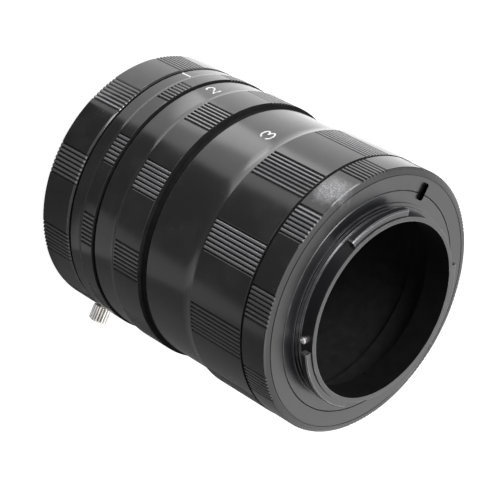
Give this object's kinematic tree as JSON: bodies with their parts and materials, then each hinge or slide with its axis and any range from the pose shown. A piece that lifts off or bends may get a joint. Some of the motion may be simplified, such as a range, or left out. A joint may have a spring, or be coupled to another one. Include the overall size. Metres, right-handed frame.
{
  "type": "macro extension tube",
  "caption": "Stack of threaded black rings with knurled grips, a female bayonet with a lock knob at one end and a male bayonet at the other, for close-up work.",
  "frame": {"origin": "centre of the female bayonet's throat, on the lens-side face", "axes": "+Z along the optical axis from the lens side to the camera side; the lock knob stands out near +Y"},
  "size_m": [0.0628, 0.0672, 0.0798],
  "materials": {
    "black_ring": "gloss black anodised",
    "black_bayonet": "satin black anodised",
    "black_screw": "blackened",
    "bright_steel": "turned bright",
    "number_white": "white filled engraving",
    "spring_steel": "rolled strip"
  },
  "bodies": {
    "lens_side": {"lens_ring": "black_ring", "lens_bayonet_plate": "black_bayonet", "plate_screws": "black_screw", "leaf_spring_1": "spring_steel", "leaf_spring_2": "spring_steel", "leaf_spring_3": "spring_steel", "spring_rivets": "bright_steel", "lock_leaf": "spring_steel"},
    "lens_lock": {"lock_knob": "bright_steel", "lock_slider": "bright_steel", "lock_pin": "bright_steel"},
    "first_tube": {"tube_1": "black_ring"},
    "second_tube": {"tube_2": "black_ring"},
    "third_tube": {"tube_3": "black_ring"},
    "camera_side": {"camera_ring": "black_ring", "camera_bayonet": "black_bayonet", "camera_screws": "black_screw", "stop_screw": "bright_steel"}
  },
  "joints": [
    {"name": "lens_lock_slide", "type": "slide", "parent": "lens_side", "child": "lens_lock", "axis": [0, 0, 1], "range_m": [0, 0.0014], "stiffness_N_per_m": 300, "springref_m": -0.0005, "deforming": ["lock_leaf"]},
    {"name": "unscrew_tube_1", "type": "slide", "parent": "lens_side", "child": "first_tube", "axis": [0, 0, 1], "range_m": [0, 0.0036]},
    {"name": "unscrew_tube_2", "type": "slide", "parent": "first_tube", "child": "second_tube", "axis": [0, 0, 1], "range_m": [0, 0.0036]},
    {"name": "unscrew_tube_3", "type": "slide", "parent": "second_tube", "child": "third_tube", "axis": [0, 0, 1], "range_m": [0, 0.0036]},
    {"name": "unscrew_camera_ring", "type": "slide", "parent": "third_tube", "child": "camera_side", "axis": [0, 0, 1], "range_m": [0, 0.0036]}
  ]
}
